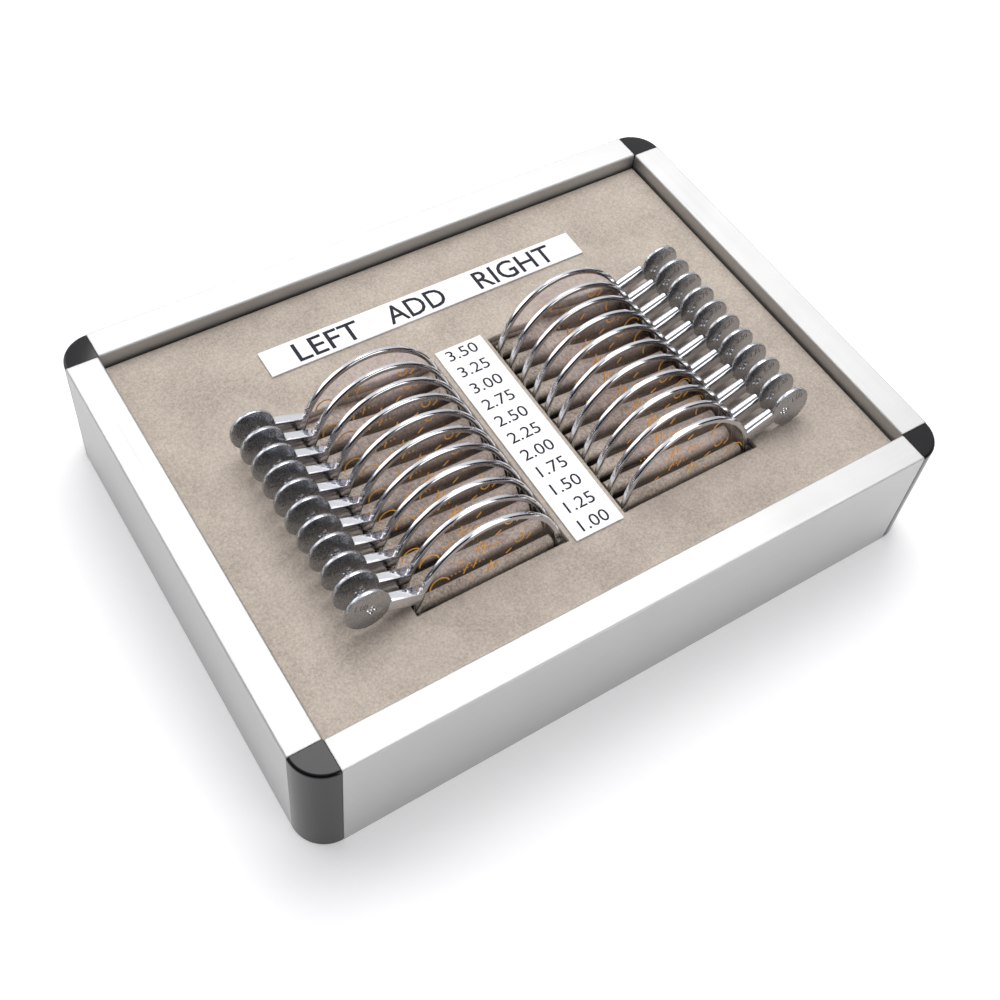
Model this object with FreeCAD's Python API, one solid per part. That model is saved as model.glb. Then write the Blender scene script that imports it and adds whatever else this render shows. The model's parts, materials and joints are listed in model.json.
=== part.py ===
import FreeCAD, Part
import math
import os

# A trial lens case: a low frame of aluminium profile with glossy corner caps, a flocked panel sunk a
# little below its edge, and two wells in the panel. In each well a slotted rack holds a row of round
# lenses. Every lens sits in a metal rim, and each rim has a handle that ends in a round plate.
# Sizes are millimetres and degrees. X runs along the case, Y from its front to its back and Z up.
# The origin lies under the middle of the case, on the surface that it stands on.

# Frame profiles
case_length = 172.0
case_depth = 127.5
case_height = 34.5
profile_width = 8.0
profile_wall = 1.2
profile_edge = 0.3
groove_height_above_floor = 1.6
groove_depth = 3.0

# Corner caps
cap_joint = 0.15
cap_edge = 0.8
tenon_length = 9.0
tenon_clearance = 0.05

# Base board
board_thickness = 2.0
board_clearance = 0.2

# Panel with its two wells
panel_sink = 4.0
panel_thickness = 2.0
panel_gap = 0.6
panel_edge = 0.4
core_gap = 0.8
well_width = 39.0
well_spacing = 54.6
well_front_from_outside = 24.5
well_length = 59.27

# Rows of lenses
rows = 11
row_pitch = 5.33
lens_lean = 8.0
first_row_from_well_front = 2.39

# Slotted racks
slot_width = 2.0
slot_floor_clearance = 0.2
crest_drop = 2.7
rib_end_gap = 1.75
comb_clearance = 0.15
rack_side = 1.6
rack_front = 1.4
rack_back = 1.2
rack_top_clearance = 0.1
pocket_clearance = 0.3

# Lens rims
rim_diameter = 38.0
rim_width = 1.3
rim_wall = 1.2
rim_chamfer_axial = 0.25
rim_chamfer_radial = 0.3
rim_centre_below_panel = 3.4
lens_groove_depth = 0.5
lens_clearance = 0.05

# Handles
left_handle_rise = 18.6
right_handle_rise = 17.8
plate_thickness = 0.9
disc_radius = 5.35
disc_distance = 31.75
disc_offset = -0.5
neck_radius = 0.8
stem_round_side = 2.4
stem_flat_side = 1.65
stem_thickness = 2.45
stem_end = 26.6

# Lenses
first_power = 1.0
power_step = 0.25
glass_index = 1.523
lens_edge_thickness = 0.6

# Label plates
label_thickness = 0.5
heading_length = 90.0
heading_height = 8.1
heading_front_from_outside = 97.6
heading_off_middle = 0.8
scale_width = 13.0
scale_front_margin = 1.2
scale_back_margin = 1.8

# Levels and places that follow from the sizes above
half_length = case_length / 2
half_depth = case_depth / 2
board_bottom = groove_height_above_floor
board_top = board_bottom + board_thickness
groove_top = board_top + board_clearance
panel_top = case_height - panel_sink
panel_bottom = panel_top - panel_thickness
inner_half_length = half_length - profile_width
inner_half_depth = half_depth - profile_width
chamber_bottom = groove_top + profile_wall
chamber_top = case_height - profile_wall

lean = math.radians(lens_lean)
up_along_lens = FreeCAD.Vector(0, math.sin(lean), math.cos(lean))
out_of_lens = FreeCAD.Vector(0, -math.cos(lean), math.sin(lean))
rim_radius = rim_diameter / 2
rim_inner_radius = rim_radius - rim_wall
rim_centre_level = panel_top - rim_centre_below_panel
well_front = -half_depth + well_front_from_outside
first_row = well_front + first_row_from_well_front
rib_thickness = row_pitch * math.cos(lean) - slot_width
rib_half_on_panel = rib_thickness / 2 / math.cos(lean)
last_rib = first_row + (rows - 0.5) * row_pitch
well_back = well_front + well_length
slot_floor = (rim_centre_level - rim_radius * math.cos(lean)
              - rim_width / 2 * math.sin(lean) - slot_floor_clearance)
rack_top = panel_bottom - rack_top_clearance
comb_half_width = well_width / 2 - comb_clearance
rack_half_width = comb_half_width + rack_side
slot_half_on_panel = slot_width / 2 / math.cos(lean)
rack_front_face = (first_row - slot_half_on_panel
                   - (panel_top - slot_floor) * math.tan(lean) - rack_front)
rack_back_face = last_rib + rib_half_on_panel + comb_clearance + rack_back
rib_half_length = comb_half_width - rib_end_gap


def box(low, high):
    """A block between two opposite corners."""
    size = FreeCAD.Vector(*high) - FreeCAD.Vector(*low)
    return Part.makeBox(size.x, size.y, size.z, FreeCAD.Vector(*low))


def face(points):
    """A flat face inside straight lines through the points."""
    corners = [FreeCAD.Vector(*point) for point in points]
    return Part.Face(Part.makePolygon(corners + corners[:1]))


def joined(solids):
    """One solid from pieces that touch or overlap."""
    return solids[0].fuse(solids[1:]).removeSplitter().Solids[0]


def lean_shift(level):
    """How far forward of its place at the panel's top a leaning plane is at this level."""
    return (panel_top - level) * math.tan(lean)


def profile(length):
    """A hollow side profile, outer face at Y zero, with a groove for the base board inside."""
    outline = face([
        (0, 0, 0),
        (0, profile_width, 0),
        (0, profile_width, board_bottom),
        (0, profile_width - groove_depth, board_bottom),
        (0, profile_width - groove_depth, groove_top),
        (0, profile_width, groove_top),
        (0, profile_width, case_height - profile_edge),
        (0, profile_width - profile_edge, case_height),
        (0, profile_edge, case_height),
        (0, 0, case_height - profile_edge),
    ])
    chamber = face([
        (0, profile_wall, chamber_bottom),
        (0, profile_width - profile_wall, chamber_bottom),
        (0, profile_width - profile_wall, chamber_top),
        (0, profile_wall, chamber_top),
    ])
    section = outline.cut(chamber)
    section.translate(FreeCAD.Vector(-length / 2, 0, 0))
    return section.extrude(FreeCAD.Vector(length, 0, 0)).Solids[0]


def corner_cap():
    """A quarter-round cap with its inner corner at the origin and a tenon along +X and +Y."""
    quarter = Part.makeCylinder(profile_width, case_height, FreeCAD.Vector(), FreeCAD.Vector(0, 0, 1), 90)
    quarter.rotate(FreeCAD.Vector(), FreeCAD.Vector(0, 0, 1), 180)
    rim = [edge for edge in quarter.Edges
           if edge.BoundBox.ZMin > case_height - 0.01 and isinstance(edge.Curve, Part.Circle)]
    quarter = quarter.makeFillet(cap_edge, rim)
    outside = -profile_width + profile_wall + tenon_clearance
    inside = -profile_wall - tenon_clearance
    low = chamber_bottom + tenon_clearance
    high = chamber_top - tenon_clearance
    tenon_x = box((0, outside, low), (tenon_length, inside, high))
    tenon_y = box((outside, 0, low), (inside, tenon_length, high))
    return joined([quarter, tenon_x, tenon_y])


def base_board():
    """The bottom board, held in the profiles' grooves and notched at the corner caps."""
    reach = groove_depth - board_clearance
    along = box(
        (-inner_half_length - reach, -inner_half_depth + board_clearance, board_bottom),
        (inner_half_length + reach, inner_half_depth - board_clearance, board_top))
    across = box(
        (-inner_half_length + board_clearance, -inner_half_depth - reach, board_bottom),
        (inner_half_length - board_clearance, inner_half_depth + reach, board_top))
    return joined([along, across])


def core_frame():
    """The filler under the panel, with a pocket for each rack."""
    core = box(
        (-inner_half_length + core_gap, -inner_half_depth + core_gap, board_top),
        (inner_half_length - core_gap, inner_half_depth - core_gap, panel_bottom))
    for side in (-1, 1):
        middle = side * well_spacing / 2
        pocket = box(
            (middle - rack_half_width - pocket_clearance, rack_front_face - pocket_clearance, board_top),
            (middle + rack_half_width + pocket_clearance, rack_back_face + pocket_clearance, panel_bottom))
        core = core.cut(pocket)
    return core.Solids[0]


def insert_panel():
    """The flocked panel, with its two wells and softened upper edges."""
    panel = box(
        (-inner_half_length + panel_gap, -inner_half_depth + panel_gap, panel_bottom),
        (inner_half_length - panel_gap, inner_half_depth - panel_gap, panel_top))
    for side in (-1, 1):
        middle = side * well_spacing / 2
        well = box(
            (middle - well_width / 2, well_front, panel_bottom),
            (middle + well_width / 2, well_back, panel_top))
        panel = panel.cut(well)
    upper_edges = [edge for edge in panel.Edges if edge.BoundBox.ZMin > panel_top - 0.01]
    return panel.makeFillet(panel_edge, upper_edges).Solids[0]


def comb_section(rib_count):
    """The rack seen from its end: leaning slots with a round-topped rib behind each, or a bare trough."""
    half = rib_thickness / 2
    crest_centre_level = panel_top - crest_drop - half
    place = FreeCAD.Vector(0, rack_front_face, board_top)
    edges = []

    def line_to(point):
        nonlocal place
        edges.append(Part.LineSegment(place, point).toShape())
        place = point

    line_to(FreeCAD.Vector(0, rack_front_face, rack_top))
    line_to(FreeCAD.Vector(0, first_row - slot_half_on_panel - lean_shift(rack_top), rack_top))
    line_to(FreeCAD.Vector(0, first_row - slot_half_on_panel - lean_shift(slot_floor), slot_floor))
    for row in range(rib_count):
        slot_middle = first_row + row * row_pitch - lean_shift(slot_floor)
        rib_middle = first_row + (row + 0.5) * row_pitch - lean_shift(crest_centre_level)
        crest_centre = FreeCAD.Vector(0, rib_middle, crest_centre_level)
        if row > 0:
            line_to(FreeCAD.Vector(0, slot_middle - slot_half_on_panel, slot_floor))
        line_to(FreeCAD.Vector(0, slot_middle + slot_half_on_panel, slot_floor))
        line_to(crest_centre + out_of_lens * half)
        crest_end = crest_centre - out_of_lens * half
        edges.append(Part.Arc(place, crest_centre + up_along_lens * half, crest_end).toShape())
        place = crest_end
    if rib_count == 0:
        line_to(FreeCAD.Vector(0, last_rib + rib_half_on_panel - lean_shift(slot_floor), slot_floor))
    line_to(FreeCAD.Vector(0, last_rib + rib_half_on_panel - lean_shift(rack_top), rack_top))
    line_to(FreeCAD.Vector(0, rack_back_face, rack_top))
    line_to(FreeCAD.Vector(0, rack_back_face, board_top))
    line_to(FreeCAD.Vector(0, rack_front_face, board_top))
    return Part.Face(Part.Wire(edges))


def slot_rack(middle):
    """A moulded rack: ribs that stand free at both ends in a trough, which stays under the panel."""
    trough = comb_section(0)
    trough.translate(FreeCAD.Vector(middle - comb_half_width, 0, 0))
    trough = trough.extrude(FreeCAD.Vector(2 * comb_half_width, 0, 0))
    ribs = comb_section(rows)
    ribs.translate(FreeCAD.Vector(middle - rib_half_length, 0, 0))
    ribs = ribs.extrude(FreeCAD.Vector(2 * rib_half_length, 0, 0))
    left_wall = box(
        (middle - rack_half_width, rack_front_face, board_top),
        (middle - comb_half_width, rack_back_face, rack_top))
    right_wall = box(
        (middle + comb_half_width, rack_front_face, board_top),
        (middle + rack_half_width, rack_back_face, rack_top))
    return joined([trough, ribs, left_wall, right_wall])


def rim():
    """The round rim about its own axis Z, with a groove inside for the lens."""
    half = rim_width / 2
    band = half - rim_chamfer_axial
    groove_half = lens_edge_thickness / 2 + lens_clearance
    section = face([
        (rim_inner_radius, 0, -half),
        (rim_radius - rim_chamfer_radial, 0, -half),
        (rim_radius, 0, -band),
        (rim_radius, 0, band),
        (rim_radius - rim_chamfer_radial, 0, half),
        (rim_inner_radius, 0, half),
        (rim_inner_radius, 0, groove_half),
        (rim_inner_radius + lens_groove_depth, 0, 0),
        (rim_inner_radius, 0, -groove_half),
    ])
    return section.revolve(FreeCAD.Vector(), FreeCAD.Vector(0, 0, 1), 360).Solids[0]


def handle_plate(inner_end):
    """The tongue and its round plate, flush with the rim's front, with rounded notches at the neck."""
    low = rim_width / 2 - plate_thickness
    tongue = box((inner_end, -stem_flat_side, low), (disc_distance, stem_round_side, low + plate_thickness))
    disc = Part.makeCylinder(disc_radius, plate_thickness, FreeCAD.Vector(disc_distance, disc_offset, low))
    plate = joined([disc, tongue])
    notches = [edge for edge in plate.Edges
               if edge.BoundBox.ZLength > plate_thickness / 2
               and inner_end + 0.1 < edge.BoundBox.XMin < disc_distance - 0.1]
    return plate.makeFillet(neck_radius, notches)


def handle_stem(inner_end):
    """The stem: a bar with a flat front and back, flat on one side and round on the other."""
    front = rim_width / 2
    back = front - stem_thickness
    round_start = stem_round_side - stem_thickness / 2
    section = Part.Face(Part.Wire([
        Part.LineSegment(FreeCAD.Vector(inner_end, round_start, back),
                         FreeCAD.Vector(inner_end, -stem_flat_side, back)).toShape(),
        Part.LineSegment(FreeCAD.Vector(inner_end, -stem_flat_side, back),
                         FreeCAD.Vector(inner_end, -stem_flat_side, front)).toShape(),
        Part.LineSegment(FreeCAD.Vector(inner_end, -stem_flat_side, front),
                         FreeCAD.Vector(inner_end, round_start, front)).toShape(),
        Part.Arc(FreeCAD.Vector(inner_end, round_start, front),
                 FreeCAD.Vector(inner_end, stem_round_side, (front + back) / 2),
                 FreeCAD.Vector(inner_end, round_start, back)).toShape(),
    ]))
    return section.extrude(FreeCAD.Vector(stem_end - inner_end, 0, 0))


def lens_holder():
    """Rim, stem and handle plate as one brazed piece, with the handle along +X."""
    root_radius = rim_radius - rim_chamfer_radial
    inner_end = root_radius - rim_wall
    handle = handle_plate(inner_end).fuse(handle_stem(inner_end))
    bore = Part.makeCylinder(root_radius, 4 * stem_thickness, FreeCAD.Vector(0, 0, -2 * stem_thickness))
    return joined([rim(), handle.cut(bore).Solids[0]])


def lens(power):
    """A lens with equal round faces of this power in dioptres, and a bevelled edge for the groove."""
    rim_seat = rim_inner_radius - lens_clearance
    tip = rim_seat + lens_groove_depth
    half_edge = lens_edge_thickness / 2
    surface_radius = 2 * (glass_index - 1) * 1000 / power
    rise = surface_radius - math.sqrt(surface_radius ** 2 - rim_seat ** 2)

    def surface_height(radius):
        drop = surface_radius - math.sqrt(surface_radius ** 2 - radius ** 2)
        return half_edge + rise - drop

    front_pole = FreeCAD.Vector(0, 0, surface_height(0))
    front_middle = FreeCAD.Vector(rim_seat / 2, 0, surface_height(rim_seat / 2))
    front_edge = FreeCAD.Vector(rim_seat, 0, half_edge)
    back_edge = FreeCAD.Vector(rim_seat, 0, -half_edge)
    back_middle = FreeCAD.Vector(rim_seat / 2, 0, -surface_height(rim_seat / 2))
    back_pole = FreeCAD.Vector(0, 0, -surface_height(0))
    section = Part.Face(Part.Wire([
        Part.Arc(front_pole, front_middle, front_edge).toShape(),
        Part.LineSegment(front_edge, FreeCAD.Vector(tip, 0, 0)).toShape(),
        Part.LineSegment(FreeCAD.Vector(tip, 0, 0), back_edge).toShape(),
        Part.Arc(back_edge, back_middle, back_pole).toShape(),
        Part.LineSegment(back_pole, front_pole).toShape(),
    ]))
    return section.revolve(FreeCAD.Vector(), FreeCAD.Vector(0, 0, 1), 360).Solids[0]


def row_placement(side, row):
    """Where a lens stands: leaning back in its slot, with the handle rising to the outside."""
    x_axis = FreeCAD.Vector(1, 0, 0)
    z_axis = FreeCAD.Vector(0, 0, 1)
    handle_turn = 180 - left_handle_rise if side < 0 else right_handle_rise
    rotation = FreeCAD.Rotation(x_axis, 90 - lens_lean)
    rotation = rotation * FreeCAD.Rotation(z_axis, handle_turn)
    row_place = first_row + row * row_pitch - lean_shift(rim_centre_level)
    centre = FreeCAD.Vector(side * well_spacing / 2, row_place, rim_centre_level)
    return FreeCAD.Placement(centre, rotation)


def save(name, shape):
    """Write one piece to its own file and say what it is."""
    shape.exportStep(f"parts/{name}.step")
    print(f"{name}: {len(shape.Solids)} solid, {shape.Volume:.1f} mm3, valid {shape.isValid()}")


os.makedirs("parts", exist_ok=True)

long_profile = profile(case_length - 2 * profile_width - 2 * cap_joint)
short_profile = profile(case_depth - 2 * profile_width - 2 * cap_joint)
sides = (
    ("front", long_profile, 0, (0, -half_depth, 0)),
    ("right", short_profile, 90, (half_length, 0, 0)),
    ("back", long_profile, 180, (0, half_depth, 0)),
    ("left", short_profile, 270, (-half_length, 0, 0)),
)
for side_name, side_profile, turn, place in sides:
    placed = side_profile.copy()
    placed.Placement = FreeCAD.Placement(
        FreeCAD.Vector(*place), FreeCAD.Rotation(FreeCAD.Vector(0, 0, 1), turn))
    save(f"profile_{side_name}", placed)

cap = corner_cap()
corners = (
    ("front_left", 0, -inner_half_length, -inner_half_depth),
    ("front_right", 90, inner_half_length, -inner_half_depth),
    ("back_right", 180, inner_half_length, inner_half_depth),
    ("back_left", 270, -inner_half_length, inner_half_depth),
)
for corner_name, turn, corner_x, corner_y in corners:
    placed = cap.copy()
    placed.Placement = FreeCAD.Placement(
        FreeCAD.Vector(corner_x, corner_y, 0), FreeCAD.Rotation(FreeCAD.Vector(0, 0, 1), turn))
    save(f"corner_{corner_name}", placed)

save("base_board", base_board())
save("core_frame", core_frame())
save("insert_panel", insert_panel())

heading_front = -half_depth + heading_front_from_outside
save("heading_label", box(
    (heading_off_middle - heading_length / 2, heading_front, panel_top),
    (heading_off_middle + heading_length / 2, heading_front + heading_height, panel_top + label_thickness)))
save("scale_label", box(
    (-scale_width / 2, well_front - scale_front_margin, panel_top),
    (scale_width / 2, well_back + scale_back_margin, panel_top + label_thickness)))

holder = lens_holder()
for side_name, side in (("left", -1), ("right", 1)):
    save(f"slot_rack_{side_name}", slot_rack(side * well_spacing / 2))
    for row in range(rows):
        power = first_power + row * power_step
        label = round(power * 100)
        placed_holder = holder.copy()
        placed_holder.Placement = row_placement(side, row)
        save(f"{side_name}_holder_{label}", placed_holder)
        placed_lens = lens(power)
        placed_lens.Placement = row_placement(side, row)
        save(f"{side_name}_lens_{label}", placed_lens)
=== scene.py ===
# %% [markdown]
# # A trial lens case, built piece by piece
#
# An optician uses this case to try reading additions on a patient. A low frame of aluminium profile
# with black corner caps holds a flocked panel with two wells. In each well stands a leaning row of
# eleven lenses in chromed rims with handles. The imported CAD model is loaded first, because every piece
# takes its place from it.

# %% Load the frame
import json
import math
import random

import bmesh
import bpy
from mathutils import Matrix, Vector

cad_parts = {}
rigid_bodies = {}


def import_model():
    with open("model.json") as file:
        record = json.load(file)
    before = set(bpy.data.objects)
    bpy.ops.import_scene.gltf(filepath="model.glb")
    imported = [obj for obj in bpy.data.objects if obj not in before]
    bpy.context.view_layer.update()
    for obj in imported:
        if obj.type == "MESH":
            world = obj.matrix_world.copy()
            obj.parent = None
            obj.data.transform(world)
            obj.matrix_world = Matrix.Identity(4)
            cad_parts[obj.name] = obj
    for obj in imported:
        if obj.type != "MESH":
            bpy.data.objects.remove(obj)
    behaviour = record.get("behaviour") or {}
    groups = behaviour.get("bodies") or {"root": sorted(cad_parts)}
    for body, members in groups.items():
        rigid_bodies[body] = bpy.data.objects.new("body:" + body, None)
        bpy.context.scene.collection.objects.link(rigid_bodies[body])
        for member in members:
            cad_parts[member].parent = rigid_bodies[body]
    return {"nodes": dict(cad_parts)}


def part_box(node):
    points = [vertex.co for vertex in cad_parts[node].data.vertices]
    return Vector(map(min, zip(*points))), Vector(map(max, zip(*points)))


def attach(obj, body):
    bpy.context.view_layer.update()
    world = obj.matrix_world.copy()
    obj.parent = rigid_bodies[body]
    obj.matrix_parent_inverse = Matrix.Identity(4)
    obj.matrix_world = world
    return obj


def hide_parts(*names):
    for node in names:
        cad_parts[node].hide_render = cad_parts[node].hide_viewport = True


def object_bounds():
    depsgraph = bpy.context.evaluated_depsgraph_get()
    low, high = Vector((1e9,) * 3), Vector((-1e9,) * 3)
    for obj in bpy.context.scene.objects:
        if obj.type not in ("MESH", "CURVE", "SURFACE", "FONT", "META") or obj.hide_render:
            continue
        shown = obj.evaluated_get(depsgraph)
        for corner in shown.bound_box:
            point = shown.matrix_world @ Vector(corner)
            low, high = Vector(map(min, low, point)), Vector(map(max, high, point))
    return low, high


for leftover in list(bpy.data.objects):
    bpy.data.objects.remove(leftover)
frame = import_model()
cad_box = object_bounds()

# %% [markdown]
# ## Small helpers
#
# Sizes are written in millimetres, as on a drawing, while Blender's scene is in metres. Colours are
# written as the sRGB hex code of a paint program, and one function turns them into the linear values
# that a shader takes. Another adds a node with its inputs and options, so that a material or a tree of
# geometry nodes reads like a list.

# %% Units, colour and nodes
MM = 0.001
collection = bpy.context.scene.collection


def linear(code):
    """An sRGB hex colour as linear red, green, blue and alpha."""
    channels = [int(code[start:start + 2], 16) / 255 for start in (1, 3, 5)]
    bent = [value / 12.92 if value <= 0.04045 else ((value + 0.055) / 1.055) ** 2.4 for value in channels]
    return (*bent, 1.0)


def set_inputs(tree, node, inputs):
    """Give each named input a value or a link. A node stands for its first output."""
    for name, value in inputs.items():
        if isinstance(value, bpy.types.Node):
            value = value.outputs[0]
        if isinstance(value, bpy.types.NodeSocket):
            tree.links.new(value, node.inputs[name])
        else:
            node.inputs[name].default_value = value


def add_node(tree, kind, inputs=None, **options):
    """Add one node, set its options and then its inputs."""
    node = tree.nodes.new(kind)
    for name, value in options.items():
        setattr(node, name, value)
    set_inputs(tree, node, inputs or {})
    return node


def new_material(name, values):
    """A material, its tree, its Principled shader with its even values, and the place on the object."""
    material = bpy.data.materials.new(name)
    material.use_nodes = True
    tree = material.node_tree
    shader = tree.nodes["Principled BSDF"]
    set_inputs(tree, shader, values)
    return material, tree, shader, add_node(tree, "ShaderNodeTexCoord").outputs["Object"]


print("One scene unit is", round(1 / MM), "mm")

# %% [markdown]
# A mesh is made in millimetres about its own middle and then moved to its place in one step. Its
# object stays at the origin, so patterns on Object coordinates lie still on it. Curves, text and
# modifiers are first turned into a plain mesh, which is their evaluated result.

# %% Meshes
def linked(name, data):
    """A new object in the scene that holds this mesh, curve, text, camera or lamp."""
    thing = bpy.data.objects.new(name, data)
    collection.objects.link(thing)
    return thing


def plain_mesh(source, name):
    """The evaluated result of an object with its modifiers, as a plain mesh."""
    bpy.context.view_layer.update()
    graph = bpy.context.evaluated_depsgraph_get()
    mesh = bpy.data.meshes.new_from_object(source.evaluated_get(graph))
    mesh.name = name
    return mesh


def placed_copy(mesh, name, matrix=Matrix.Identity(4)):
    """A new object at the origin, whose mesh is a copy brought from millimetres to metres and moved."""
    copy = mesh.copy()
    copy.name = name
    copy.transform(matrix @ Matrix.Scale(MM, 4))
    return linked(name, copy)


def discard(*objects):
    """Remove objects that only helped to make a mesh."""
    for helper in objects:
        bpy.data.objects.remove(helper)


def kept_mesh(shell, name):
    """A mesh from a bmesh, which is then freed."""
    mesh = bpy.data.meshes.new(name)
    shell.to_mesh(mesh)
    shell.free()
    return mesh


def coat(mesh, material):
    """Make this the mesh's only material."""
    mesh.materials.clear()
    mesh.materials.append(material)
    return mesh


def smooth_between_edges(mesh, degrees):
    """Shade smoothly, except over edges that turn more than this."""
    mesh.polygons.foreach_set("use_smooth", [True] * len(mesh.polygons))
    mesh.set_sharp_from_angle(angle=math.radians(degrees))


def revolved(section, steps, sweep=360):
    """A solid that a section of radius and height points sweeps round Z, with smooth closed poles."""
    shell = bmesh.new()
    closed = sweep == 360
    columns = []
    poles = {}
    for step in range(steps if closed else steps + 1):
        angle = math.radians(sweep * step / steps)
        column = []
        for index, (radius, height) in enumerate(section):
            if radius == 0:
                if index not in poles:
                    poles[index] = shell.verts.new((0, 0, height))
                column.append(poles[index])
            else:
                spot = (radius * math.cos(angle), radius * math.sin(angle), height)
                column.append(shell.verts.new(spot))
        columns.append(column)
    for left, right in zip(columns, columns[1:] + columns[:1] if closed else columns[1:]):
        for index in range(len(section)):
            after = (index + 1) % len(section)
            corners = []
            for vertex in (left[index], right[index], right[after], left[after]):
                if vertex not in corners:
                    corners.append(vertex)
            if len(corners) > 2:
                shell.faces.new(corners)
    if not closed:
        shell.faces.new(columns[0])
        shell.faces.new(columns[-1])
    bmesh.ops.recalc_face_normals(shell, faces=shell.faces)
    return kept_mesh(shell, "revolved")


def extruded(low_points, high_points):
    """A closed bmesh between two outlines of as many points, and its low and high corners."""
    shell = bmesh.new()
    low = [shell.verts.new(point) for point in low_points]
    high = [shell.verts.new(point) for point in high_points]
    shell.faces.new(low)
    shell.faces.new(high)
    for index in range(len(low)):
        after = (index + 1) % len(low)
        shell.faces.new((low[index], low[after], high[after], high[index]))
    bmesh.ops.recalc_face_normals(shell, faces=shell.faces)
    return shell, low, high


def joined(meshes, name):
    """One mesh from several, which keeps each face's material."""
    parts = [linked("part", mesh.copy()) for mesh in meshes]
    with bpy.context.temp_override(active_object=parts[0], selected_editable_objects=parts):
        bpy.ops.object.join()
    result = parts[0].data
    result.name = name
    discard(parts[0])
    return result


print("Mesh helpers are ready")

# %% [markdown]
# ## The camera
#
# The camera stands where the photographer's did: in front, to the left and high above, and turned a
# little about its own axis. Its place and lens were worked out from the rims, which are 38 mm across,
# and from the straight edges of the case. The small shift says that the picture was cropped.

# %% Camera
camera_place = (-129.123, -163.118, 289.629)
camera_right = (0.83619579, -0.54004788, 0.09552429)
camera_up = (0.37915478, 0.69511028, 0.61078912)
camera_forward = (0.39625528, 0.4745208, -0.78601002)
camera_data = bpy.data.cameras.new("camera")
camera_data.lens = 49.962
camera_data.sensor_width = 36.0
camera_data.sensor_fit = "HORIZONTAL"
camera_data.shift_x = -0.02497
camera_data.shift_y = -0.07642
camera_data.clip_start = 0.01
camera_data.clip_end = 20.0
camera = linked("camera", camera_data)
turn = Matrix((camera_right, camera_up, -Vector(camera_forward))).transposed()
camera.matrix_world = Matrix.Translation(Vector(camera_place) * MM) @ turn.to_4x4()
bpy.context.scene.camera = camera
bpy.context.scene.view_settings.view_transform = "Standard"
print("Camera at", [round(value) for value in camera_place], "mm, lens", camera_data.lens, "mm")

# %% [markdown]
# ## Studio light
#
# Chrome shows what stands around it. The light tent is bright above and behind the case and dark on
# the camera's side, which draws a thin dark line along the front edge of every rim. The key lamp hangs
# high behind the case, where the satin tops mirror it and turn nearly white. A card at the back left
# brightens the rims' left side, and a low fill in front keeps the outer faces and the shadow light.

# %% World and lamps
world = bpy.data.worlds.new("light_tent")
world.use_nodes = True
bpy.context.scene.world = world
sky = world.node_tree
direction = add_node(sky, "ShaderNodeTexCoord")
bright_side = Vector((0.2, 0.66, 0.72)).normalized()
towards_light = add_node(sky, "ShaderNodeVectorMath", {
    0: direction.outputs["Generated"], 1: bright_side}, operation="DOT_PRODUCT")
tent = add_node(sky, "ShaderNodeValToRGB", {"Fac": towards_light.outputs["Value"]})
tent.color_ramp.elements[0].position = 0.0
tent.color_ramp.elements[0].color = (0.03, 0.03, 0.035, 1.0)
tent.color_ramp.elements[1].position = 0.85
tent.color_ramp.elements[1].color = (1.0, 1.0, 1.02, 1.0)
for position, level in ((0.28, 0.14), (0.5, 0.5)):
    stop = tent.color_ramp.elements.new(position)
    stop.color = (level, level, level * 1.07, 1.0)
set_inputs(sky, sky.nodes["Background"], {"Color": tent, "Strength": 1.0})


lamp_target = Vector((0.0, 0.0, 0.02))


def softbox(name, place, size, watts):
    """A square lamp at this place, in metres, that faces the case."""
    lamp_data = bpy.data.lights.new(name, "AREA")
    lamp_data.shape = "SQUARE"
    lamp_data.size = size
    lamp_data.energy = watts
    lamp = linked(name, lamp_data)
    lamp.location = place
    lamp.rotation_euler = (lamp_target - Vector(place)).to_track_quat("-Z", "Y").to_euler()


softbox("key_softbox", (0.27, 0.42, 1.0), 0.75, 7.3)
softbox("back_card", (-0.75, 1.0, 0.7), 0.8, 3.2)
softbox("front_fill", (0.4, -1.15, 0.5), 0.8, 5.5)
print("Lamps:", [lamp.name for lamp in bpy.data.lights])

# %% [markdown]
# The floor is white paper and takes the case's soft shadow. A little glow for camera, glossy and
# transmission rays lifts it to pure white in the picture and in the chrome, and doesn't light the case.

# %% Floor
floor_half = 3.0
floor_glow = 0.29
floor_mesh = bpy.data.meshes.new("floor")
floor_corners = [(x * floor_half, y * floor_half, 0) for x, y in ((-1, -1), (1, -1), (1, 1), (-1, 1))]
floor_mesh.from_pydata(floor_corners, [], [(0, 1, 2, 3)])
floor = linked("floor", floor_mesh)
paper, tree, shader, place = new_material("white_paper", {
    "Base Color": linear("#EDEDED"), "Roughness": 0.9, "Specular IOR Level": 0.2})
rays = add_node(tree, "ShaderNodeLightPath")
seen = rays.outputs["Is Camera Ray"]
for ray in ("Is Glossy Ray", "Is Transmission Ray"):
    seen = add_node(tree, "ShaderNodeMath", {0: seen, 1: rays.outputs[ray]}, operation="MAXIMUM")
glow = add_node(tree, "ShaderNodeMath", {0: seen, 1: floor_glow}, operation="MULTIPLY")
set_inputs(tree, shader, {"Emission Color": (1.0, 1.0, 1.0, 1.0), "Emission Strength": glow})
coat(floor_mesh, paper)
print("Floor", 2 * floor_half, "m across")

# %% [markdown]
# ## Finishes
#
# **Anodised aluminium.** The side profiles are extruded, etched and anodised in their natural colour.
# The die leaves fine lines along the length, a few hundredths of a millimetre apart, and drawn 0.25 mm
# apart here so that they show. The etch makes the metal satin and takes the sharpness off every edge,
# which the shader's bevel stands for.

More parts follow.
